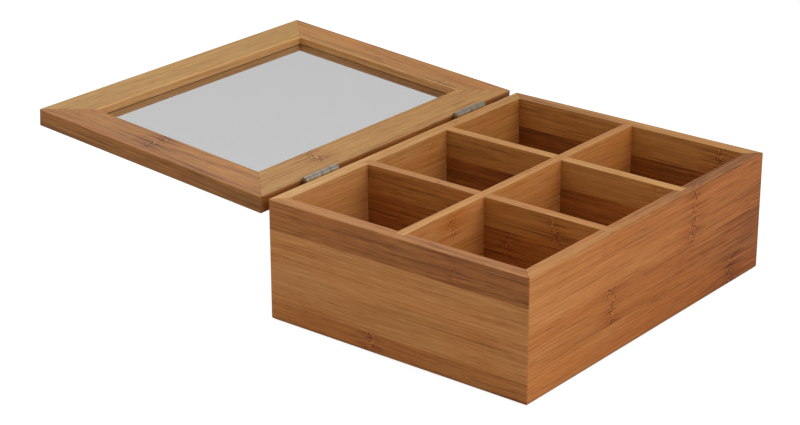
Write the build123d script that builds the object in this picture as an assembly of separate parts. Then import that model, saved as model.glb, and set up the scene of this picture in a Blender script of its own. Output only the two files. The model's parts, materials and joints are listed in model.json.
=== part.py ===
from build123d import *
import os
from math import asin, cos, radians, sin

# Bamboo tea box with six compartments and a hinged lid with a window, shown with the lid open.
# Millimetres. X runs along the hinges, the front of the box faces -Y, and +Z is up.
# The origin is the middle of the box's underside.

# ---- driving dimensions: box ----
box_length = 240.0
box_depth = 182.0
box_height = 75.0
wall = 8.6                      # thickness of the four walls
foot_round = 3.0                # outer edge round along the underside
rim_round = 0.8                 # outer edge round along the rim
fine_round = 0.4                # eased inner edges
corner_round = 1.2              # upright corners of the box
bottom_thick = 4.5
bottom_rabbet = 4.3             # how far the bottom reaches in under each wall

# ---- driving dimensions: dividers ----
divider = 6.3                   # thickness
cells_along = 3                 # compartments along the hinges
dado_depth = 3.8                # how far a divider's end is let into a wall

# ---- driving dimensions: lid ----
lid_thick = 11.6
lid_rail = 25.5                 # face width of the lid's four frame pieces
side_overhang = 0.4             # the lid is this much longer than the box at each end
front_overhang = 2.0            # and reaches this much past the front, for a fingertip
lid_round = 3.0                 # outer edges of the lid's upper face
lid_corner_round = 2.2          # the lid's four corners seen from above
window_round = 1.5              # edge of the window in the lid's upper face
pane_thick = 2.0
pane_depth = 4.6                # from the lid's underside to the pane
pane_lap = 5.0                  # how far the pane reaches into its groove
pane_play = 0.5                 # room left for the frame to shrink on to the pane

# ---- driving dimensions: hinges ----
hinge_spacing = 144.0           # centre to centre
hinge_length = 29.0
knuckles = 4
barrel = 4.5                    # outside diameter
sheet = 0.95                    # leaf metal
leaf_width = 8.4                # pin centre to the leaf's free edge
leaf_corner = 1.6
knuckle_gap = 0.25              # between neighbouring knuckles
seam_angle = 62.0               # opening left where the rolled sheet comes round to its leaf
pin_play = 0.05                 # radial, between the pin and the knuckles that turn on it
pin_chamfer = 0.4
lid_gap = 0.3                   # between the rim and the closed lid
open_angle = 175.8              # how far the lid opens from closed

# ---- driving dimensions: hinge screws ----
screw_spacing = 17.0            # two screws in each leaf
screw_drop = 5.2                # pin centre to screw centre
screw_shank = 2.2
screw_head = 4.2
screw_depth = 7.0               # length in the wood
screw_point = 1.8               # length of the tapered tip
head_gap = 0.08                 # between the heads that stop the open lid

# ---- worked-out places ----
inner_length = box_length - 2 * wall
inner_depth = box_depth - 2 * wall
cell_length = (inner_length - (cells_along - 1) * divider) / cells_along
divider_xs = [(cell_length + divider) * (i - (cells_along - 2) / 2) for i in range(cells_along - 1)]
divider_height = box_height - bottom_thick

lid_length = box_length + 2 * side_overhang
lid_depth = box_depth + front_overhang
lid_middle = Pos(0, -front_overhang / 2, box_height + lid_gap)

barrel_radius = barrel / 2
pin_radius = barrel_radius - sheet
pin_y = box_depth / 2 + barrel_radius
pin_z = box_height + lid_gap / 2
pitch = hinge_length / knuckles
hinge_xs = {"left": -hinge_spacing / 2, "right": hinge_spacing / 2}

# The raised screw heads of the two leaves meet when the lid is open, and that holds it a little
# short of flat, so the height of a head follows from the open angle.
heads_apart = 2 * pin_radius + screw_drop * sin(radians(180 - open_angle))
head_height = (heads_apart - head_gap) / 2


def eased(section, corners):
    """Round corners of a flat section, each given as (across, up, radius)."""
    for across, up, radius in corners:
        corner = section.vertices().sort_by_distance((across, up, 0))[0]
        section = fillet(corner, radius)
    return section


def mitred(section, length, width):
    """Run a section along X and cut both ends at 45 degrees, the long side at Y = 0."""
    bar = extrude(Plane.YZ * section, length / 2, both=True)
    half = length / 2
    plan = Polygon((-half, 0), (half, 0), (half - width, width), (width - half, width), align=None)
    return bar & extrude(Pos(0, 0, -box_height) * plan, 3 * box_height)


def framed(section, length, depth, width, corner):
    """Four mitred pieces of one section round a rectangle, with rounded upright corners."""
    outline = extrude(Pos(0, 0, -box_height) * RectangleRounded(length, depth, corner), 3 * box_height)
    sides = {
        "front": (Pos(0, -depth / 2, 0), length),
        "right": (Pos(length / 2, 0, 0) * Rot(0, 0, 90), depth),
        "back": (Pos(0, depth / 2, 0) * Rot(0, 0, 180), length),
        "left": (Pos(-length / 2, 0, 0) * Rot(0, 0, -90), depth),
    }
    return {side: (place * mitred(section, run, width)) & outline for side, (place, run) in sides.items()}


# ---- hinges and screws, each in its own frame with the pin along X through the origin ----

def rolled_knuckle(length):
    """Sheet that runs up from the leaf and rolls round the pin, with its seam left open."""
    tab = Pos(-pin_radius - sheet / 2, -leaf_width / 4) * Rectangle(sheet, leaf_width / 2)
    reach = 2 * barrel
    seam_end = (reach * cos(radians(180 + seam_angle)), reach * sin(radians(180 + seam_angle)))
    seam = Polygon((0, 0), (-reach, 0), (-reach, -reach), seam_end, align=None)
    roll = Circle(barrel_radius) - Circle(pin_radius) - seam
    return extrude(Plane.YZ * (roll + tab), length)


def hinge_leaf(first, running):
    """A leaf that hangs down from the pin, with every second knuckle from the given one."""
    notch = barrel_radius + knuckle_gap
    plate_height = leaf_width - notch
    outline = Rectangle(hinge_length, plate_height)
    outline = fillet(outline.vertices().group_by(Axis.Y)[0], leaf_corner)
    plate = extrude(Plane.XZ * outline, sheet)
    leaf = Pos(0, -pin_radius, -notch - plate_height / 2) * plate
    for i in range(first, knuckles, 2):
        start = i * pitch + (knuckle_gap / 2 if i > 0 else 0)
        end = (i + 1) * pitch - (knuckle_gap / 2 if i < knuckles - 1 else 0)
        leaf += Pos(start - hinge_length / 2, 0, 0) * rolled_knuckle(end - start)
    if running:
        leaf -= Rot(0, 90, 0) * Cylinder(pin_radius + pin_play, 2 * hinge_length)
    for hole_x in (-screw_spacing / 2, screw_spacing / 2):
        leaf -= Pos(hole_x, -barrel_radius, -screw_drop) * Rot(90, 0, 0) * Cylinder(screw_shank / 2, barrel)
    return leaf


def hinge_pin():
    """The pin, its chamfered ends flush with the end knuckles."""
    pin = Rot(0, 90, 0) * Cylinder(pin_radius, hinge_length)
    return chamfer(pin.edges().filter_by(GeomType.CIRCLE), pin_chamfer)


def screw():
    """A round-head screw along Y, its head seated on a leaf and its tip in the wood."""
    shank, head, seat = screw_shank / 2, screw_head / 2, sheet
    dome_radius = (head ** 2 + head_height ** 2) / (2 * head_height)
    crown = seat + head_height
    half_dome = asin(head / dome_radius) / 2
    shoulder = (dome_radius * sin(half_dome), crown - dome_radius * (1 - cos(half_dome)))
    outline = [
        Polyline((0, crown), (0, -screw_depth), (shank, screw_point - screw_depth), (shank, seat), (head, seat)),
        ThreePointArc((head, seat), shoulder, (0, crown)),
    ]
    return revolve(make_face(outline), Axis.Y)


def hinge_screws():
    """The screws of both box leaves, where they sit."""
    return [
        Pos(hinge_x + side * screw_spacing / 2, box_depth / 2, pin_z - screw_drop) * screw()
        for hinge_x in hinge_xs.values()
        for side in (-1, 1)
    ]


def turned_up(shape):
    """The closed lid's counterpart of something on the box: its mirror image about the pin."""
    return mirror(shape, about=Plane.XY.offset(pin_z))


# ---- box ----

def box_walls():
    """Four mitred walls, rabbeted for the bottom and grooved for the dividers."""
    section = Rectangle(wall, box_height, align=Align.MIN)
    section = eased(
        section,
        [(0, 0, foot_round), (0, box_height, rim_round), (wall, box_height, fine_round)],
    )
    rabbet = Pos(wall - bottom_rabbet, 0) * Rectangle(bottom_rabbet, bottom_thick, align=Align.MIN)
    walls = framed(section - rabbet, box_length, box_depth, wall, corner_round)
    room = Pos(0, 0, bottom_thick) * Box(
        inner_length + 2 * dado_depth, divider, box_height, align=(Align.CENTER, Align.CENTER, Align.MIN)
    )
    for side in ("left", "right"):
        walls[side] -= room
    for x in divider_xs:
        room = Pos(x, 0, bottom_thick) * Box(
            divider, inner_depth + 2 * dado_depth, box_height, align=(Align.CENTER, Align.CENTER, Align.MIN)
        )
        for side in ("front", "back"):
            walls[side] -= room
    for fastener in hinge_screws():
        walls["back"] -= fastener
    return walls


def bottom_panel():
    """Flush with the underside and let in under all four walls."""
    length = inner_length + 2 * bottom_rabbet
    depth = inner_depth + 2 * bottom_rabbet
    return Box(length, depth, bottom_thick, align=(Align.CENTER, Align.CENTER, Align.MIN))


def divider_board(run):
    """A board along X with its upper edges eased, standing on the bottom."""
    section = Rectangle(divider, divider_height, align=(Align.CENTER, Align.MIN))
    top = [(side * divider / 2, divider_height, fine_round) for side in (-1, 1)]
    length = run + 2 * dado_depth
    return extrude(Plane.YZ * Pos(0, bottom_thick) * eased(section, top), length / 2, both=True)


def lap(x, from_top):
    """The space of a half-lap, upper or lower half, across a board along X."""
    middle = bottom_thick + divider_height / 2
    above = Align.MIN if from_top else Align.MAX
    return Pos(x, 0, middle) * Box(divider, 2 * divider, divider_height, align=(Align.CENTER, Align.CENTER, above))


def dividers():
    """One long divider, slotted from below, over two cross dividers, slotted from above."""
    centre = divider_board(inner_length)
    for x in divider_xs:
        centre -= lap(x, from_top=False)
    cross = Rot(0, 0, 90) * (divider_board(inner_depth) - lap(0, from_top=True))
    left, right = (Pos(x, 0, 0) * cross for x in divider_xs)
    return {"centre_divider": centre, "left_cross_divider": left, "right_cross_divider": right}


# ---- lid, modelled closed and then opened ----

def lid_frame():
    """Four mitred pieces, grooved for the pane."""
    section = Rectangle(lid_rail, lid_thick, align=Align.MIN)
    section = eased(
        section,
        [
            (0, 0, rim_round),
            (0, lid_thick, lid_round),
            (lid_rail, 0, fine_round),
            (lid_rail, lid_thick, window_round),
        ],
    )
    groove_depth = pane_lap + pane_play
    groove = Pos(lid_rail - groove_depth, pane_depth) * Rectangle(groove_depth, pane_thick, align=Align.MIN)
    pieces = framed(section - groove, lid_length, lid_depth, lid_rail, lid_corner_round)
    pieces = {side: lid_middle * piece for side, piece in pieces.items()}
    for fastener in hinge_screws():
        pieces["back"] -= turned_up(fastener)
    return pieces


def lid_pane():
    """The clear window, held all round in the groove."""
    length = lid_length - 2 * (lid_rail - pane_lap)
    depth = lid_depth - 2 * (lid_rail - pane_lap)
    pane = Box(length, depth, pane_thick, align=(Align.CENTER, Align.CENTER, Align.MIN))
    return lid_middle * Pos(0, 0, pane_depth) * pane


def opened(shape):
    """Swing something on the closed lid back about the pins."""
    return shape.rotate(Axis((0, pin_y, pin_z), (1, 0, 0)), -open_angle)


def tea_box():
    """Every piece by its name, with the lid open."""
    walls = box_walls()
    pieces = {side + "_wall": walls[side] for side in walls}
    pieces["bottom_panel"] = bottom_panel()
    pieces.update(dividers())

    frame = lid_frame()
    closed = {
        "lid_front_rail": frame["front"],
        "lid_back_rail": frame["back"],
        "lid_left_stile": frame["left"],
        "lid_right_stile": frame["right"],
        "lid_pane": lid_pane(),
        "lid_leaf_screws": Compound([turned_up(fastener) for fastener in hinge_screws()]),
    }
    for side, x in hinge_xs.items():
        at_pin = Pos(x, pin_y, pin_z)
        pieces[side + "_hinge_box_leaf"] = at_pin * hinge_leaf(first=1, running=False)
        pieces[side + "_hinge_pin"] = at_pin * hinge_pin()
        closed[side + "_hinge_lid_leaf"] = turned_up(at_pin * hinge_leaf(first=0, running=True))
    pieces["box_leaf_screws"] = Compound(hinge_screws())
    pieces.update({name: opened(shape) for name, shape in closed.items()})
    return pieces


os.makedirs("parts", exist_ok=True)
for name, shape in tea_box().items():
    export_step(shape, f"parts/{name}.step")
    volume = sum(solid.volume for solid in shape.solids())
    print(name, round(volume / 1000, 2), "cm3")
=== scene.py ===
import json
from math import pi, radians

import bpy
from mathutils import Matrix, Vector

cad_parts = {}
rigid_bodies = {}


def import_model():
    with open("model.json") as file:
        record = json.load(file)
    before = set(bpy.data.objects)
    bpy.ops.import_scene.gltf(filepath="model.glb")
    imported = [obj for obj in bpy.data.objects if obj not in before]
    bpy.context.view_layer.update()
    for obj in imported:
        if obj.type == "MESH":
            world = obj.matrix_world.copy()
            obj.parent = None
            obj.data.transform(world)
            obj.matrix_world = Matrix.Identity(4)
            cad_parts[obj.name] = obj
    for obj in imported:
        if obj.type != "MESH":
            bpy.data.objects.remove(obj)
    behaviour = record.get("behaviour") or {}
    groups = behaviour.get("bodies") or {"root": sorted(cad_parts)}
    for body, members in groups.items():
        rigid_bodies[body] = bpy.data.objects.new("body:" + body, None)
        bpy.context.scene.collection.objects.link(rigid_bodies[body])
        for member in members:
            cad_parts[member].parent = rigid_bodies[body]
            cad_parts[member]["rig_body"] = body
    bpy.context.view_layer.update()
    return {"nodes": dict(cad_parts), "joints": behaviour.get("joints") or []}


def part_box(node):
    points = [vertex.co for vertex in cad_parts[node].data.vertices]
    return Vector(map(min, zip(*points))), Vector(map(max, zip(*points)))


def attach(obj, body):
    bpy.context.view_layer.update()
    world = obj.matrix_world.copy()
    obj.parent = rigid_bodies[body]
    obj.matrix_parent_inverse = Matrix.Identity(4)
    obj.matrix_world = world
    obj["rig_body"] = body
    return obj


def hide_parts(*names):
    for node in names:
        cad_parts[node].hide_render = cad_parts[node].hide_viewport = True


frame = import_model()
print("tea box: frame loaded,", len(frame["nodes"]), "pieces from the model")

# the lid is drawn open in the frame, and its wood is laid out as if it were closed
hinge = frame["joints"][0]
pinPoint = Vector(hinge["pos_m"])
openAngle = radians(hinge["range_deg"][1])
closeLid = Matrix.Translation(pinPoint) @ Matrix.Rotation(openAngle, 4, "X") @ Matrix.Translation(-pinPoint)
openLid = closeLid.inverted()


# small helpers for building node trees

def addNode(tree, kind, inputs=None, **settings):
    made = tree.nodes.new(kind)
    for name, value in settings.items():
        setattr(made, name, value)
    for name, value in (inputs or {}).items():
        if isinstance(value, bpy.types.NodeSocket):
            tree.links.new(value, made.inputs[name])
        else:
            made.inputs[name].default_value = value
    return made


def maths(tree, operation, *values, clamp=False):
    made = addNode(tree, "ShaderNodeMath", dict(enumerate(values)), operation=operation, use_clamp=clamp)
    return made.outputs[0]


def vectorMaths(tree, operation, *values):
    made = addNode(tree, "ShaderNodeVectorMath", dict(enumerate(values)), operation=operation)
    return made.outputs["Value" if operation in ("LENGTH", "DOT_PRODUCT") else "Vector"]


def fade(tree, value, start, end, low=0.0, high=1.0):
    ranges = {"Value": value, "From Min": start, "From Max": end, "To Min": low, "To Max": high}
    return addNode(tree, "ShaderNodeMapRange", ranges, interpolation_type="SMOOTHSTEP").outputs["Result"]


def mixColour(tree, blend, factor, first, second):
    inputs = {0: factor, 6: first, 7: second}
    made = addNode(tree, "ShaderNodeMix", inputs, data_type="RGBA", blend_type=blend)
    return made.outputs[2]


def noise(tree, vector, detail=2.0, roughness=0.5, output="Fac"):
    inputs = {"Vector": vector, "Scale": 1.0, "Detail": detail, "Roughness": roughness}
    return addNode(tree, "ShaderNodeTexNoise", inputs).outputs[output]


def newGroup(name, inputs, outputs, kind="ShaderNodeTree"):
    tree = bpy.data.node_groups.new(name, kind)
    for label, socketKind, value in inputs:
        socket = tree.interface.new_socket(label, in_out="INPUT", socket_type="NodeSocket" + socketKind)
        if value is not None:
            socket.default_value = value
    for label, socketKind in outputs:
        tree.interface.new_socket(label, in_out="OUTPUT", socket_type="NodeSocket" + socketKind)
    start = tree.nodes.new("NodeGroupInput").outputs
    end = tree.nodes.new("NodeGroupOutput")
    return tree, start, end


def sendOut(tree, end, **values):
    for name, value in values.items():
        tree.links.new(value, end.inputs[name])


def useGroup(tree, group, **inputs):
    made = addNode(tree, "ShaderNodeGroup", node_tree=group)
    for name, value in inputs.items():
        if isinstance(value, bpy.types.NodeSocket):
            tree.links.new(value, made.inputs[name])
        else:
            made.inputs[name].default_value = value
    return made.outputs


def newMaterial(name):
    material = bpy.data.materials.new(name)
    material.use_nodes = True
    tree = material.node_tree
    tree.nodes.clear()
    shader = tree.nodes.new("ShaderNodeBsdfPrincipled")
    out = tree.nodes.new("ShaderNodeOutputMaterial")
    tree.links.new(shader.outputs["BSDF"], out.inputs["Surface"])
    return material, tree, shader


# bamboo fibres, in a board's own millimetres with X along the grain
fibres = {
    "sway": 1.4,            # how far the fibres wander
    "bandAcross": 0.16, "bandAlong": 0.008,         # broad paler and darker bands
    "streakAcross": 0.8, "streakAlong": 0.02,     # streaks a millimetre or two wide
    "hairAcross": 2.6, "hairAlong": 0.08,          # single fibres
    "lineAcross": 1.1, "lineAlong": 0.012,          # long thin dark lines
    "bundleAcross": 1.5, "bundleAlong": 0.075,      # short dark dashes
    "bandTone": 0.32, "streakTone": 0.7, "hairTone": 0.42,
    "streakRelief": 0.7, "hairRelief": 1.1, "markRelief": -0.5,     # lines and dashes are marks
}


def makeFibreGroup():
    tree, start, end = newGroup(
        "bambooFibres",
        [("Place", "Vector", (0, 0, 0))],
        [("Tone", "Float"), ("Lines", "Float"), ("Bundles", "Float"), ("Relief", "Float")],
    )
    place = start["Place"]

    def stretched(vector, along, across):
        return vectorMaths(tree, "MULTIPLY", vector, (along, across, across))

    wander = noise(tree, stretched(place, 0.013, 0.06), 1.0, output="Color")
    wander = vectorMaths(tree, "SUBTRACT", wander, (0.5, 0.5, 0.5))
    wander = vectorMaths(tree, "MULTIPLY", wander, (0, 2 * fibres["sway"], 2 * fibres["sway"]))
    swayed = vectorMaths(tree, "ADD", place, wander)

    band = noise(tree, stretched(swayed, fibres["bandAlong"], fibres["bandAcross"]), 2.0)
    streak = noise(tree, stretched(swayed, fibres["streakAlong"], fibres["streakAcross"]), 3.0, 0.6)
    hair = noise(tree, stretched(swayed, fibres["hairAlong"], fibres["hairAcross"]), 1.5, 0.6)
    line = noise(tree, stretched(swayed, fibres["lineAlong"], fibres["lineAcross"]), 1.0)
    band = maths(tree, "SUBTRACT", band, 0.5)
    streak = maths(tree, "SUBTRACT", streak, 0.5)
    hair = maths(tree, "SUBTRACT", hair, 0.5)
    tone = maths(tree, "MULTIPLY", streak, fibres["streakTone"])
    tone = maths(tree, "MULTIPLY_ADD", band, fibres["bandTone"], tone)
    tone = maths(tree, "MULTIPLY_ADD", hair, fibres["hairTone"], tone)
    lines = fade(tree, line, 0.4, 0.31)

    cells = addNode(
        tree, "ShaderNodeTexVoronoi",
        {"Vector": stretched(swayed, fibres["bundleAlong"], fibres["bundleAcross"]), "Scale": 1.0},
    )
    chosen = addNode(tree, "ShaderNodeSeparateColor", {"Color": cells.outputs["Color"]}).outputs["Red"]
    core = fade(tree, cells.outputs["Distance"], 0.36, 0.12)
    bundles = maths(tree, "MULTIPLY", core, fade(tree, chosen, 0.5, 0.85))

    relief = maths(tree, "MULTIPLY", hair, fibres["hairRelief"])
    relief = maths(tree, "MULTIPLY_ADD", bundles, fibres["markRelief"], relief)
    relief = maths(tree, "MULTIPLY_ADD", streak, fibres["streakRelief"], relief)
    relief = maths(tree, "MULTIPLY_ADD", lines, fibres["markRelief"], relief)
    sendOut(tree, end, Tone=tone, Lines=lines, Bundles=bundles, Relief=relief)
    return tree


# a bamboo joint: curly scales on a wavy line across one strip, with browner wood to both sides
joints = {
    "wobble": 4.5,          # how far the line leaves the square, in mm
    "halfWidth": 6.0,
    "curl": 0.27,           # size of the curls, per mm
    "turns": 30.0,          # how many curls lie side by side
    "scale": (0.42, 0.62, 0.62),    # closeness of the dark scales between the curls, per mm
    "shade": 20.0,          # reach of the browner wood
}


def makeJointGroup():
    tree, start, end = newGroup(
        "bambooJoint",
        [("Place", "Vector", (0, 0, 0)), ("At", "Float", 0.0), ("Strength", "Float", 1.0)],
        [("Dark", "Float"), ("Pale", "Float"), ("Shade", "Float")],
    )
    place = start["Place"]
    at = start["At"]
    shift = addNode(tree, "ShaderNodeCombineXYZ", {"X": at, "Y": at, "Z": at}).outputs[0]
    own = vectorMaths(tree, "ADD", place, vectorMaths(tree, "MULTIPLY", shift, (0.0, 3.7, 1.9)))
    bent = noise(tree, vectorMaths(tree, "MULTIPLY", own, (0.03, 0.16, 0.16)), 2.0, 0.5)
    along = addNode(tree, "ShaderNodeSeparateXYZ", {"Vector": place}).outputs["X"]
    bend = maths(tree, "MULTIPLY", maths(tree, "SUBTRACT", bent, 0.5), 2 * joints["wobble"])
    signed = maths(tree, "ADD", maths(tree, "SUBTRACT", along, at), bend)
    away = maths(tree, "ABSOLUTE", signed)

    patchy = noise(tree, vectorMaths(tree, "MULTIPLY", own, (0.2, 0.25, 0.25)), 2.0)
    belt = fade(tree, away, joints["halfWidth"], 0.6)
    belt = maths(tree, "MULTIPLY", belt, fade(tree, patchy, 0.28, 0.48))
    curled = noise(tree, vectorMaths(tree, "MULTIPLY", own, (joints["curl"],) * 3), 1.0)
    wave = maths(tree, "SINE", maths(tree, "MULTIPLY", curled, joints["turns"]))
    scales = addNode(
        tree, "ShaderNodeTexVoronoi",
        {"Vector": vectorMaths(tree, "MULTIPLY", own, joints["scale"]), "Scale": 1.0},
    )
    flecks = fade(tree, scales.outputs["Distance"], 0.42, 0.18)
    dark = maths(tree, "MULTIPLY", maths(tree, "MAXIMUM", fade(tree, wave, 0.1, 0.95), flecks), belt)
    pale = maths(tree, "MULTIPLY", fade(tree, wave, -0.1, -0.95), belt)

    streaky = noise(tree, vectorMaths(tree, "MULTIPLY", own, (0.03, 0.42, 0.42)), 3.0, 0.6)
    near = fade(tree, away, joints["shade"], 0.0)
    shade = maths(tree, "MULTIPLY", near, fade(tree, streaky, 0.36, 0.66))
    for socket, value in (("Dark", dark), ("Pale", pale), ("Shade", shade)):
        tree.links.new(maths(tree, "MULTIPLY", value, start["Strength"]), end.inputs[socket])
    return tree


# edges of a board, in mm: a soft lighter band along its arrises, partly rubbed wear and partly a painted
# highlight on the eased edges, and the thin glue line of a mitre
edges = {"wearAndHighlightWidth": 1.3, "glueWidth": 0.35}


def makeEdgeGroup():
    tree, start, end = newGroup(
        "boardEdges",
        [("Place", "Vector", (0, 0, 0)), ("Half Size", "Vector", (1, 1, 1)),
         ("Mitre Side", "Vector", (0, 0, 0)), ("Mitre Reach", "Float", 0.0)],
        [("Rub", "Float"), ("Glue", "Float")],
    )
    place = start["Place"]
    inside = vectorMaths(tree, "SUBTRACT", start["Half Size"], vectorMaths(tree, "ABSOLUTE", place))
    depth = addNode(tree, "ShaderNodeSeparateXYZ", {"Vector": inside}).outputs
    total = maths(tree, "ADD", maths(tree, "ADD", depth["X"], depth["Y"]), depth["Z"])
    least = maths(tree, "MINIMUM", maths(tree, "MINIMUM", depth["X"], depth["Y"]), depth["Z"])
    most = maths(tree, "MAXIMUM", maths(tree, "MAXIMUM", depth["X"], depth["Y"]), depth["Z"])
    toEdge = maths(tree, "SUBTRACT", maths(tree, "SUBTRACT", total, least), most)
    broken = noise(tree, vectorMaths(tree, "MULTIPLY", place, (0.12, 0.4, 0.4)), 3.0, 0.6)
    # lighter tone along the arrises: partly rubbed wear, partly a painted highlight where the eased edges
    # catch the light
    wearAndHighlight = maths(tree, "MULTIPLY", fade(tree, toEdge, edges["wearAndHighlightWidth"], 0.2), fade(tree, broken, 0.3, 0.65))

    across = vectorMaths(tree, "DOT_PRODUCT", place, start["Mitre Side"])
    toMitre = maths(tree, "SUBTRACT", depth["X"], maths(tree, "SUBTRACT", start["Mitre Reach"], across))
    glue = fade(tree, toMitre, edges["glueWidth"], 0.05)
    glue = maths(tree, "MULTIPLY", glue, fade(tree, broken, 0.35, 0.6))
    mitred = maths(tree, "GREATER_THAN", start["Mitre Reach"], 0.5)
    sendOut(tree, end, Rub=wearAndHighlight, Glue=maths(tree, "MULTIPLY", glue, mitred))
    return tree


# the whole board surface: strips of slightly different bamboo, fibres, joints and edges
bamboo = {
    "dark": (0.085, 0.024, 0.005),
    "brown": (0.235, 0.084, 0.012),
    "amber": (0.380, 0.157, 0.029),
    "honey": (0.480, 0.218, 0.048),
    "straw": (0.625, 0.332, 0.113),
    "reddish": (1.12, 0.76, 0.52),      # tints of the warmest and the coolest wood
    "yellowish": (0.96, 1.18, 1.40),
    "patchiness": 0.4,                  # how much the tint changes within a board
    "lineTone": -0.17, "bundleTone": -0.2,
    "shadeTone": -0.29, "scaleTone": -0.38, "paleTone": 0.22,       # round and in a joint
    # the edge tone is partly rubbed wear and partly a painted highlight on the arrises
    "wearAndHighlightTone": 0.05, "glueTone": -0.05,
    "roughness": 0.46,
}


def makeBambooGroup(fibreGroup, jointGroup, edgeGroup):
    tree, start, end = newGroup(
        "bambooBoard",
        [("Place", "Vector", (0, 0, 0)), ("Tone", "Float", 0.5), ("Warmth", "Float", 0.5),
         ("Joint At", "Float", 0.0), ("Joint Strength", "Float", 1.0), ("Half Size", "Vector", (1, 1, 1)),
         ("Mitre Side", "Vector", (0, 0, 0)), ("Mitre Reach", "Float", 0.0)],
        [("Color", "Color"), ("Roughness", "Float"), ("Relief", "Float")],
    )
    place = start["Place"]
    own = maths(tree, "MULTIPLY", start["Joint At"], 7.3)      # each strip has its own fibres
    offset = addNode(tree, "ShaderNodeCombineXYZ", {"X": own, "Y": maths(tree, "MULTIPLY", own, 1.7)})
    stripPlace = vectorMaths(tree, "ADD", place, offset.outputs[0])
    fibre = useGroup(tree, fibreGroup, Place=stripPlace)
    joint = useGroup(tree, jointGroup, Place=place, At=start["Joint At"], Strength=start["Joint Strength"])
    edge = useGroup(
        tree, edgeGroup, Place=place,
        **{name: start[name] for name in ("Half Size", "Mitre Side", "Mitre Reach")},
    )

    tone = maths(tree, "ADD", fibre["Tone"], start["Tone"])
    for factor, amount in (
        (fibre["Lines"], "lineTone"), (fibre["Bundles"], "bundleTone"), (joint["Shade"], "shadeTone"),
        (joint["Dark"], "scaleTone"), (joint["Pale"], "paleTone"), (edge["Rub"], "wearAndHighlightTone"),
        (edge["Glue"], "glueTone"),
    ):
        tone = maths(tree, "MULTIPLY_ADD", factor, bamboo[amount], tone)
    ramp = addNode(tree, "ShaderNodeValToRGB", {"Fac": tone})
    stops = ramp.color_ramp.elements
    while len(stops) < 5:
        stops.new(0.5)
    for stop, (position, name) in zip(
        stops, ((0.0, "dark"), (0.3, "brown"), (0.5, "amber"), (0.7, "honey"), (1.0, "straw"))
    ):
        stop.position = position
        stop.color = (*bamboo[name], 1)
    patch = noise(tree, vectorMaths(tree, "MULTIPLY", stripPlace, (0.02, 0.09, 0.09)), 2.0)
    patch = maths(tree, "SUBTRACT", patch, 0.5)
    warmth = maths(tree, "MULTIPLY_ADD", patch, bamboo["patchiness"], start["Warmth"])
    warmth = maths(tree, "MULTIPLY_ADD", joint["Shade"], 0.3, warmth, clamp=True)
    tint = mixColour(tree, "MIX", warmth, (*bamboo["yellowish"], 1), (*bamboo["reddish"], 1))
    colour = mixColour(tree, "MULTIPLY", 1.0, ramp.outputs["Color"], tint)

    rough = maths(tree, "MULTIPLY_ADD", fibre["Relief"], -0.14, bamboo["roughness"])
    rough = maths(tree, "MULTIPLY_ADD", joint["Dark"], 0.12, rough)
    rough = maths(tree, "MULTIPLY_ADD", edge["Glue"], 0.2, rough)
    relief = maths(tree, "MULTIPLY_ADD", joint["Dark"], -0.9, fibre["Relief"])
    relief = maths(tree, "MULTIPLY_ADD", joint["Pale"], 0.7, relief)
    relief = maths(tree, "MULTIPLY_ADD", edge["Glue"], -1.2, relief)
    sendOut(tree, end, Color=colour, Roughness=rough, Relief=relief)
    return tree


bambooGroup = makeBambooGroup(makeFibreGroup(), makeJointGroup(), makeEdgeGroup())
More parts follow.
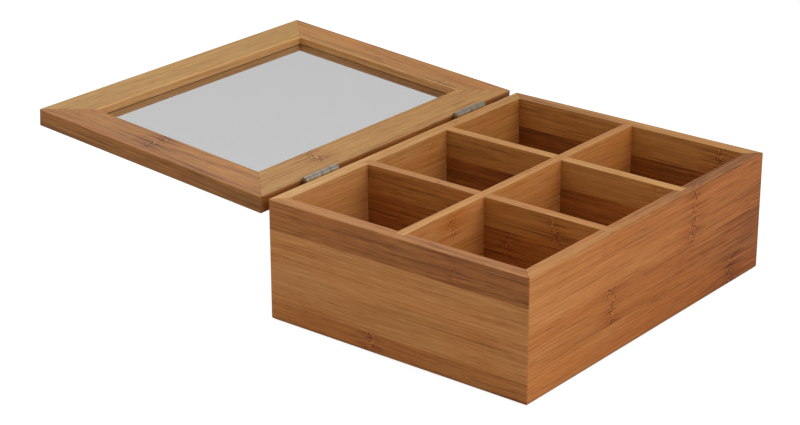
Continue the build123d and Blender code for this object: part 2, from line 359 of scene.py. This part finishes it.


# Every board: the way its grain runs and its face looks, and its strips across the face.
# A strip is its width in mm, tone, redness, place of its joint in mm from the middle and how strong
# the joint is, and the strips are listed from the lower or inner side. Some strips carry painted light
# and shade, as said at their boards. The tone drift is the tone gained in 100 mm along the grain, partly
# the wood's own change and partly a painted fall-off of light and shade along the board.
up, down = (0, 0, 1), (0, 0, -1)
east, west, north, south = (1, 0, 0), (-1, 0, 0), (0, 1, 0), (0, -1, 0)
boards = {
    # painted light and shade: the tone drift darkens the front wall towards its right end, a painted
    # fall-off of the lamp light along it
    "front_wall": {"grain": east, "face": south, "mitre": "face", "toneAndShadeDrift": -0.17, "strips": [
        (20, 0.62, 0.95, 87, 0.85), (22, 0.6, 0.93, -41, 0.9), (14, 0.70, 0.9, 42, 0.8),
        (18.2, 0.69, 0.9, 45, 0.7), (0.8, 0.46, 0.55, 49, 0.5)]},
    "left_wall": {"grain": south, "face": west, "mitre": "face", "toneAndShadeDrift": -0.05, "strips": [
        (13, 0.60, 0.8, -17, 0.7), (22, 0.76, 0.7, 60, 0.2), (22, 0.78, 0.7, -78, 0.2),
        (17.2, 0.45, 0.78, 40, 0.2), (0.8, 0.5, 0.6, 20, 0.3)]},
    "back_wall": {"grain": west, "face": north, "mitre": "face", "toneAndShadeDrift": 0.14, "strips": [
        (18, 0.86, 0.6, 30, 0.8), (19, 0.82, 0.55, -64, 0.6), (19, 0.84, 0.6, 92, 0.9),
        (18.2, 0.8, 0.56, -20, 0.4), (0.8, 0.7, 0.3, -48, 0.3)]},
    # painted shade: the three lower strips are darker and redder than the top one, standing in for the
    # shade deep in the compartments on the inner face, and the tone drift darkens the board towards the
    # back; the strips' other differences are the bamboo's own
    "right_wall": {"grain": north, "face": east, "mitre": "face", "toneAndShadeDrift": -0.08, "strips": [
        (17, 0.3, 0.85, 48, 0.8), (20, 0.34, 0.8, -30, 0.6), (19, 0.3, 0.8, 10, 0.5),
        (18.2, 0.57, 0.5, -66, 0.9), (0.8, 0.52, 0.35, 30, 0.2)]},
    "bottom_panel": {"grain": east, "face": up, "mitre": None, "strips": [
        (20, 0.5, 0.6, 30, 0.8), (19, 0.58, 0.5, -70, 0.8), (21, 0.54, 0.7, 80, 0.8),
        (20, 0.6, 0.6, -12, 0.8), (19, 0.5, 0.5, 55, 0.8), (20, 0.57, 0.7, -45, 0.8),
        (21, 0.53, 0.6, 5, 0.8), (20, 0.6, 0.5, 98, 0.8), (20, 0.5, 0.6, -90, 0.8)]},
    "centre_divider": {"grain": east, "face": south, "mitre": None, "toneAndShadeDrift": -0.08, "strips": [
        (18, 0.74, 0.7, 20, 0.6), (18, 0.8, 0.68, -90, 0.4), (17, 0.84, 0.74, 60, 0.5),
        (16.8, 0.86, 0.72, -71, 0.8), (0.7, 0.67, 0.45, 12, 0.4)]},
    # painted shade: the strips darken and redden towards the bottom, standing in for the shade deep in the
    # compartments, and the tone drift darkens the board towards the back; the strips' other differences are
    # the bamboo's own
    "left_cross_divider": {"grain": south, "face": west, "mitre": None, "toneAndShadeDrift": 0.06, "strips": [
        (18, 0.34, 0.85, 60, 0.8), (18, 0.4, 0.8, -12, 0.6), (17, 0.45, 0.78, 20, 0.4),
        (16.8, 0.53, 0.58, 52, 0.7), (0.7, 0.6, 0.5, -30, 0.4)]},
    # painted shade: the strips darken and redden towards the bottom, standing in for the shade deep in the
    # compartments, and the tone drift darkens the board towards the back; the strips' other differences are
    # the bamboo's own
    "right_cross_divider": {"grain": south, "face": west, "mitre": None, "toneAndShadeDrift": 0.12, "strips": [
        (18, 0.34, 0.85, 8, 0.6), (18, 0.36, 0.8, -52, 0.8), (17, 0.4, 0.78, -30, 0.6),
        (16.8, 0.6, 0.5, 70, 0.3), (0.7, 0.72, 0.35, 45, 0.3)]},
    # painted light: the bright 0.8 mm strip on the window side lights the reveal above and below the sheet,
    # standing in for lamp light through the window
    "lid_front_rail": {"grain": east, "face": down, "mitre": "side", "strips": [
        (0.8, 0.95, 0.45, 10, 0.1), (5.2, 0.62, 0.1, 70, 0.1), (19.5, 0.6, 0.05, -150, 0.1)]},
    "lid_left_stile": {"grain": south, "face": down, "mitre": "side", "strips": [
        (20.5, 0.48, 0.42, 5, 0.9), (5, 0.41, 0.52, 44, 0.1)]},
    # painted shade: the dark 0.8 mm strip on the hinge side darkens the rail's edge face, standing in for
    # the shade in the narrow gap by the hinges
    "lid_back_rail": {"grain": west, "face": down, "mitre": "side", "strips": [
        (16.5, 0.56, 0.2, 54, 0.8), (8.2, 0.56, 0.15, -80, 0.1), (0.8, 0.34, 0.5, 20, 0.1)]},
    # painted light: the bright 0.8 mm strip on the window side lights the reveal beside the sheet, standing
    # in for lamp light through the window
    "lid_right_stile": {"grain": north, "face": down, "mitre": "side", "strips": [
        (0.8, 0.8, 0.5, 10, 0.1), (7.2, 0.47, 0.25, 53, 0.6), (17.5, 0.5, 0.42, -18, 0.3)]},
}


# the turn that brings a board into its own axes, and its middle and size there in millimetres
def boardFrame(name, grain, face):
    onLid = frame["nodes"][name].get("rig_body") == hinge["child"]
    move = closeLid if onLid else Matrix.Identity(4)
    along, out = Vector(grain), Vector(face)
    axes = Matrix((along, out.cross(along), out)).to_4x4()
    turn = axes @ move
    points = [turn @ v.co * 1000 for v in frame["nodes"][name].data.vertices]
    low = Vector(min(p[i] for p in points) for i in range(3))
    high = Vector(max(p[i] for p in points) for i in range(3))
    return turn, (low + high) / 2, high - low


grainBump = {"Strength": 0.6, "Distance": 0.00012}
jointSpan = 400.0       # the strips' table keeps a joint's place as a share of this many millimetres


def boardMaterial(name, grain, face, mitre, strips, toneAndShadeDrift=0.0):
    turn, middle, size = boardFrame(name, grain, face)
    material, tree, shader = newMaterial("bamboo_" + name)
    coords = tree.nodes.new("ShaderNodeTexCoord").outputs["Object"]
    place = addNode(tree, "ShaderNodeMapping", {
        "Vector": coords, "Location": turn.translation * 1000 - middle,
        "Rotation": turn.to_euler(), "Scale": (1000, 1000, 1000),
    }).outputs["Vector"]

    spot = addNode(tree, "ShaderNodeSeparateXYZ", {"Vector": place}).outputs
    share = maths(tree, "MULTIPLY_ADD", spot["Y"], 1 / size.y, 0.5)
    ramp = addNode(tree, "ShaderNodeValToRGB", {"Fac": share})
    ramp.color_ramp.interpolation = "CONSTANT"
    stops = ramp.color_ramp.elements
    while len(stops) < len(strips):
        stops.new(0.5)
    while len(stops) > len(strips):
        stops.remove(stops[-1])
    whole = sum(strip[0] for strip in strips)
    start = 0.0
    for stop, (width, tone, redness, jointAt, strength) in zip(stops, strips):
        stop.position = start / whole
        stop.color = (tone, redness, jointAt / jointSpan + 0.5, strength)
        start += width
    strip = addNode(tree, "ShaderNodeSeparateColor", {"Color": ramp.outputs["Color"]}).outputs
    jointAt = maths(tree, "MULTIPLY_ADD", strip["Blue"], jointSpan, -jointSpan / 2)
    # the tone drift along the grain: partly the wood's own change, partly painted light and shade
    tone = maths(tree, "MULTIPLY_ADD", spot["X"], toneAndShadeDrift / 100, strip["Red"])

    mitreSide = {"face": (0, 0, 1), "side": (0, 1, 0), None: (0, 0, 0)}[mitre]
    mitreReach = {"face": size.z / 2, "side": size.y / 2, None: 0.0}[mitre]
    made = useGroup(
        tree, bambooGroup, Place=place, Tone=tone, Warmth=strip["Green"],
        **{"Joint At": jointAt, "Joint Strength": ramp.outputs["Alpha"], "Half Size": size / 2,
           "Mitre Side": mitreSide, "Mitre Reach": mitreReach},
    )
    bump = addNode(tree, "ShaderNodeBump", {"Height": made["Relief"], **grainBump})
    tree.links.new(made["Color"], shader.inputs["Base Color"])
    tree.links.new(made["Roughness"], shader.inputs["Roughness"])
    tree.links.new(bump.outputs["Normal"], shader.inputs["Normal"])
    shader.inputs["Coat Weight"].default_value = 0.05
    shader.inputs["Coat Roughness"].default_value = 0.3
    return material


def dress(name, material):
    for slot in frame["nodes"][name].material_slots:
        slot.material = material


for name, board in boards.items():
    dress(name, boardMaterial(name, **board))
print("tea box: bamboo laid on", len(boards), "boards")


# the window: clear sheet with a faint haze, which lets lamp light through to the wood behind it
window = {"tint": (0.945, 0.945, 0.945, 1), "ior": 1.49, "smooth": 0.02, "hazy": 0.07, "lampShare": 0.85}


def makeWindowMaterial():
    material, tree, shader = newMaterial("window_sheet")
    coords = tree.nodes.new("ShaderNodeTexCoord").outputs["Object"]
    haze = noise(tree, vectorMaths(tree, "MULTIPLY", coords, (28, 28, 28)), 4.0, 0.6)
    rough = fade(tree, haze, 0.4, 0.8, window["smooth"], window["hazy"])
    shader.inputs["Base Color"].default_value = window["tint"]
    tree.links.new(rough, shader.inputs["Roughness"])
    shader.inputs["Transmission Weight"].default_value = 1.0
    shader.inputs["IOR"].default_value = window["ior"]
    toLamp = tree.nodes.new("ShaderNodeLightPath").outputs["Is Shadow Ray"]
    clear = addNode(tree, "ShaderNodeBsdfTransparent", {"Color": (window["lampShare"],) * 3 + (1,)})
    mix = addNode(tree, "ShaderNodeMixShader", {0: toLamp, 1: shader.outputs[0], 2: clear.outputs[0]})
    tree.links.new(mix.outputs[0], tree.nodes["Material Output"].inputs["Surface"])
    return material


dress("lid_pane", makeWindowMaterial())


# hinge metal: satin steel with fine rubbed lines and a little tarnish
metal = {"bright": (0.66, 0.59, 0.48), "dull": (0.36, 0.31, 0.24)}


def makeMetalMaterial(name, grainScale):
    material, tree, shader = newMaterial(name)
    coords = tree.nodes.new("ShaderNodeTexCoord").outputs["Object"]
    across = 5 * grainScale     # the rubbed lines run along the pin
    lines = noise(tree, vectorMaths(tree, "MULTIPLY", coords, (grainScale, across, across)), 3.0)
    cloud = noise(tree, vectorMaths(tree, "MULTIPLY", coords, (420, 420, 420)), 3.0, 0.6)
    tarnish = fade(tree, cloud, 0.42, 0.75)
    colour = mixColour(tree, "MIX", tarnish, (*metal["bright"], 1), (*metal["dull"], 1))
    rough = maths(tree, "MULTIPLY_ADD", lines, 0.25, maths(tree, "MULTIPLY_ADD", tarnish, 0.15, 0.22))
    bump = addNode(tree, "ShaderNodeBump", {"Height": lines, "Strength": 0.3, "Distance": 0.00004})
    tree.links.new(colour, shader.inputs["Base Color"])
    tree.links.new(rough, shader.inputs["Roughness"])
    tree.links.new(bump.outputs["Normal"], shader.inputs["Normal"])
    shader.inputs["Metallic"].default_value = 1.0
    return material


leafMetal = makeMetalMaterial("hinge_leaf_steel", 900)
pinMetal = makeMetalMaterial("hinge_pin_steel", 1500)
screwMetal = makeMetalMaterial("hinge_screw_steel", 1200)
for side in ("left", "right"):
    for leaf in ("_hinge_box_leaf", "_hinge_lid_leaf"):
        dress(side + leaf, leafMetal)
    dress(side + "_hinge_pin", pinMetal)
print("tea box: window and hinges finished")


# hinge screws, in millimetres: a domed head with a cross recess on a threaded, pointed shank
screws = {
    "head": 2.1, "core": 0.8, "point": 1.8, "leaf": 0.95,
    "pitch": 0.95, "ridge": 0.3,
    "crossHalf": 1.3, "crossWidth": 0.3, "crossDepth": 0.95,
    "hingeSpacing": 144.0, "spacing": 17.0,
    "sides": 40, "spin": 7,         # seed of the turn that each screw was left at
}


def makeScrewTree(material):
    inputs = [
        ("Geometry", "Geometry", None), ("Head Radius", "Float", 0.001), ("Dome Height", "Float", 0.001),
        ("Seat", "Float", 0.001), ("Core Radius", "Float", 0.001), ("Length", "Float", 0.005),
        ("Point", "Float", 0.001), ("Pitch", "Float", 0.001), ("Facing", "Rotation", None),
        ("Seed", "Int", 0),
    ]
    tree, start, end = newGroup("hingeScrews", inputs, [("Geometry", "Geometry")], "GeometryNodeTree")
    mm = 0.001

    def moved(geometry, place=(0, 0, 0), turn=(0, 0, 0), scale=(1, 1, 1)):
        inputs = {"Geometry": geometry, "Translation": place, "Rotation": turn, "Scale": scale}
        return addNode(tree, "GeometryNodeTransform", inputs).outputs[0]

    def upwards(height):
        return addNode(tree, "ShaderNodeCombineXYZ", {"Z": height}).outputs[0]

    def cut(operation, first, *others):
        made = addNode(tree, "GeometryNodeMeshBoolean", operation=operation)
        tree.links.new(first, made.inputs[0 if operation == "DIFFERENCE" else 1])
        for other in others:
            tree.links.new(other, made.inputs[1])
        return made.outputs[0]

    # head: the cap of a ball, as wide as the head and as high as the dome
    radius, height = start["Head Radius"], start["Dome Height"]
    squares = maths(tree, "ADD", maths(tree, "POWER", radius, 2.0), maths(tree, "POWER", height, 2.0))
    ballRadius = maths(tree, "DIVIDE", squares, maths(tree, "MULTIPLY", height, 2.0))
    crown = maths(tree, "ADD", start["Seat"], height)
    ball = addNode(tree, "GeometryNodeMeshUVSphere", {
        "Segments": screws["sides"], "Rings": screws["sides"], "Radius": ballRadius}).outputs[0]
    ball = moved(ball, upwards(maths(tree, "SUBTRACT", crown, ballRadius)))
    rim = addNode(tree, "GeometryNodeMeshCylinder", {
        "Vertices": screws["sides"], "Radius": radius, "Depth": maths(tree, "MULTIPLY", height, 2.0)})
    rim = moved(rim.outputs[0], upwards(crown))
    head = cut("INTERSECT", ball, rim)
    arms = []
    for turn in (0.0, pi / 2):
        arm = addNode(tree, "GeometryNodeMeshCone", {
            "Vertices": 4, "Radius Top": screws["crossHalf"] * 1.25 * mm, "Radius Bottom": 0.5 * mm,
            "Depth": 1.3 * screws["crossDepth"] * mm}).outputs[0]
        arm = moved(arm, scale=(1, screws["crossWidth"], 1))
        deep = maths(tree, "SUBTRACT", crown, screws["crossDepth"] * mm)
        arms.append(moved(arm, upwards(deep), (0, 0, turn)))
    head = cut("DIFFERENCE", head, *arms)

    # shank: a core that ends in a point, with the thread wound round it
    core, length = start["Core Radius"], start["Length"]
    straight = maths(tree, "SUBTRACT", length, start["Point"])
    rod = addNode(tree, "GeometryNodeMeshCylinder", {
        "Vertices": screws["sides"] // 2, "Radius": core,
        "Depth": maths(tree, "ADD", straight, start["Seat"])})
    middle = maths(tree, "MULTIPLY", maths(tree, "SUBTRACT", start["Seat"], straight), 0.5)
    rod = moved(rod.outputs[0], upwards(middle))
    tip = addNode(tree, "GeometryNodeMeshCone", {
        "Vertices": screws["sides"] // 2, "Radius Top": core, "Radius Bottom": 0.05 * mm,
        "Depth": start["Point"]})
    tip = moved(tip.outputs[0], upwards(maths(tree, "MULTIPLY", length, -1.0)))
    turns = maths(tree, "DIVIDE", straight, start["Pitch"])
    winding = addNode(tree, "GeometryNodeCurveSpiral", {
        "Resolution": 16, "Rotations": turns, "Start Radius": core, "End Radius": core,
        "Height": straight})
    winding = moved(winding.outputs[0], upwards(maths(tree, "MULTIPLY", straight, -1.0)))
    profile = addNode(tree, "GeometryNodeCurvePrimitiveCircle", {
        "Resolution": 4, "Radius": screws["ridge"] * mm}, mode="RADIUS").outputs[0]
    thread = addNode(tree, "GeometryNodeCurveToMesh", {
        "Curve": winding, "Profile Curve": profile, "Fill Caps": True}).outputs[0]

    # one screw on every point, each turned by chance about its own length
    whole = tree.nodes.new("GeometryNodeJoinGeometry")
    for piece in (thread, tip, rod, head):
        tree.links.new(piece, whole.inputs[0])
    placed = addNode(tree, "GeometryNodeInstanceOnPoints", {
        "Points": start["Geometry"], "Instance": whole.outputs[0], "Rotation": start["Facing"]}).outputs[0]
    spin = addNode(tree, "FunctionNodeRandomValue", {"Seed": start["Seed"]}, data_type="FLOAT")
    spin.inputs[3].default_value = 2 * pi
    turned = addNode(tree, "GeometryNodeRotateInstances", {
        "Instances": placed, "Rotation": upwards(spin.outputs[1]), "Local Space": True}).outputs[0]
    real = addNode(tree, "GeometryNodeRealizeInstances", {"Geometry": turned}).outputs[0]
    angle = tree.nodes.new("GeometryNodeInputMeshEdgeAngle").outputs["Unsigned Angle"]
    gentle = addNode(tree, "FunctionNodeCompare", {0: angle, 1: radians(32)}, operation="LESS_THAN")
    smooth = addNode(tree, "GeometryNodeSetShadeSmooth", {"Geometry": real}).outputs[0]
    smooth = addNode(tree, "GeometryNodeSetShadeSmooth", {
        "Geometry": smooth, "Shade Smooth": gentle.outputs[0]}, domain="EDGE").outputs[0]
    finished = addNode(tree, "GeometryNodeSetMaterial", {"Geometry": smooth, "Material": material})
    tree.links.new(finished.outputs[0], end.inputs[0])
    return tree


def makeScrews(name, node, body, tree, move, seed):
    low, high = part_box("box_leaf_screws")
    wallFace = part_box("back_wall")[1][1]
    drop = pinPoint.z - (low[2] + high[2]) / 2
    side = 1 if move else -1        # the lid's screws mirror the box's about the pin
    places = [
        Vector((
            hingeSide * screws["hingeSpacing"] / 2000 + screwSide * screws["spacing"] / 2000,
            wallFace,
            pinPoint.z + side * drop,
        ))
        for hingeSide in (-1, 1)
        for screwSide in (-1, 1)
    ]
    facing = Matrix.Rotation(-pi / 2, 4, "X")       # turns a screw's own +Z to +Y
    if move:
        places = [move @ place for place in places]
        facing = move.to_3x3().to_4x4() @ facing
    mesh = bpy.data.meshes.new(name + "_points")
    mesh.from_pydata(places, [], [])
    holder = bpy.data.objects.new(name + "_points", mesh)
    bpy.context.scene.collection.objects.link(holder)
    modifier = holder.modifiers.new("screws", "NODES")
    modifier.node_group = tree
    values = {
        "Head Radius": screws["head"] / 1000, "Dome Height": high[1] - wallFace - screws["leaf"] / 1000,
        "Seat": screws["leaf"] / 1000, "Core Radius": screws["core"] / 1000, "Length": wallFace - low[1],
        "Point": screws["point"] / 1000, "Pitch": screws["pitch"] / 1000,
        "Facing": facing.to_euler(), "Seed": seed,
    }
    for socket in tree.interface.items_tree:
        if socket.name in values and socket.in_out == "INPUT":
            modifier[socket.identifier] = values[socket.name]
    evaluated = holder.evaluated_get(bpy.context.evaluated_depsgraph_get())
    made = bpy.data.objects.new(name, bpy.data.meshes.new_from_object(evaluated))
    bpy.context.scene.collection.objects.link(made)
    bpy.data.objects.remove(holder)
    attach(made, body)
    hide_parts(node)
    print("tea box:", name, len(made.data.polygons), "faces")


screwTree = makeScrewTree(screwMetal)
makeScrews("box_hinge_screws", "box_leaf_screws", hinge["parent"], screwTree, None, screws["spin"])
makeScrews("lid_hinge_screws", "lid_leaf_screws", hinge["child"], screwTree, openLid, screws["spin"] + 1)


# floor, light and camera
studio = {
    "floorSize": 12.0,
    # brightness of world and floor as seen directly, in gloss, through the window and by shaded surfaces
    "world": (1.0, 0.28, 0.6, 0.76),
    "floorGlow": (0.9, 0.04, 0.655, 0.0),
    "floorColour": (0.2, 0.2, 0.2, 0.5),
    "lamps": {
        "front": {"at": (0.20, -0.70, 0.55), "size": 0.5, "power": 2.0},
        "overhead": {"at": (0.15, 0.50, 0.90), "size": 0.8, "power": 3.7},
    },
}


def byRay(tree, direct, gloss, through, shade):
    rays = tree.nodes.new("ShaderNodeLightPath").outputs
    value = maths(tree, "MULTIPLY_ADD", rays["Is Glossy Ray"], gloss - shade, shade)
    value = maths(tree, "MULTIPLY_ADD", rays["Is Transmission Ray"], through - shade, value)
    return maths(tree, "MULTIPLY_ADD", rays["Is Camera Ray"], direct - shade, value)


def makeFloor():
    material = bpy.data.materials.new("pale_floor")
    material.use_nodes = True
    tree = material.node_tree
    tree.nodes.clear()
    surface = addNode(tree, "ShaderNodeBsdfDiffuse", {"Color": byRay(tree, *studio["floorColour"])})
    glow = addNode(tree, "ShaderNodeEmission", {"Strength": byRay(tree, *studio["floorGlow"])})
    both = addNode(tree, "ShaderNodeAddShader", {0: surface.outputs[0], 1: glow.outputs[0]})
    out = tree.nodes.new("ShaderNodeOutputMaterial")
    tree.links.new(both.outputs[0], out.inputs["Surface"])
    half = studio["floorSize"] / 2
    mesh = bpy.data.meshes.new("studio_floor")
    corners = [(-half, -half, 0), (half, -half, 0), (half, half, 0), (-half, half, 0)]
    mesh.from_pydata(corners, [], [(0, 1, 2, 3)])
    mesh.materials.append(material)
    floor = bpy.data.objects.new("studio_floor", mesh)
    bpy.context.scene.collection.objects.link(floor)


def makeWorld():
    world = bpy.data.worlds.new("studio")
    bpy.context.scene.world = world
    world.use_nodes = True
    tree = world.node_tree
    tree.nodes.clear()
    strength = byRay(tree, *studio["world"])
    sky = addNode(tree, "ShaderNodeBackground", {"Color": (1, 1, 1, 1), "Strength": strength})
    out = tree.nodes.new("ShaderNodeOutputWorld")
    tree.links.new(sky.outputs[0], out.inputs["Surface"])


def makeLamp(name, at, size, power):
    lamp = bpy.data.lights.new(name, "AREA")
    lamp.size = size
    lamp.energy = power
    holder = bpy.data.objects.new(name, lamp)
    bpy.context.scene.collection.objects.link(holder)
    holder.location = at
    holder.rotation_euler = (-Vector(at)).to_track_quat("-Z", "Y").to_euler()


camera = {
    "at": (-0.98558, -0.69937, 0.53427),
    "azimuth": -51.258, "elevation": 21.798, "roll": -0.178,    # degrees
    "lens": 99.785,
}


def makeCamera():
    data = bpy.data.cameras.new("camera")
    data.lens = camera["lens"]
    data.sensor_width = 36.0
    holder = bpy.data.objects.new("camera", data)
    bpy.context.scene.collection.objects.link(holder)
    turn = Matrix.Rotation(radians(camera["azimuth"]), 4, "Z")
    tilt = Matrix.Rotation(radians(90 - camera["elevation"]), 4, "X")
    roll = Matrix.Rotation(radians(camera["roll"]), 4, "Z")
    holder.matrix_world = Matrix.Translation(camera["at"]) @ turn @ tilt @ roll
    bpy.context.scene.camera = holder


makeFloor()
makeWorld()
for name, lamp in studio["lamps"].items():
    makeLamp(name, **lamp)
makeCamera()
bpy.context.scene.view_settings.view_transform = "Standard"
print("tea box: floor, lamps and camera set")
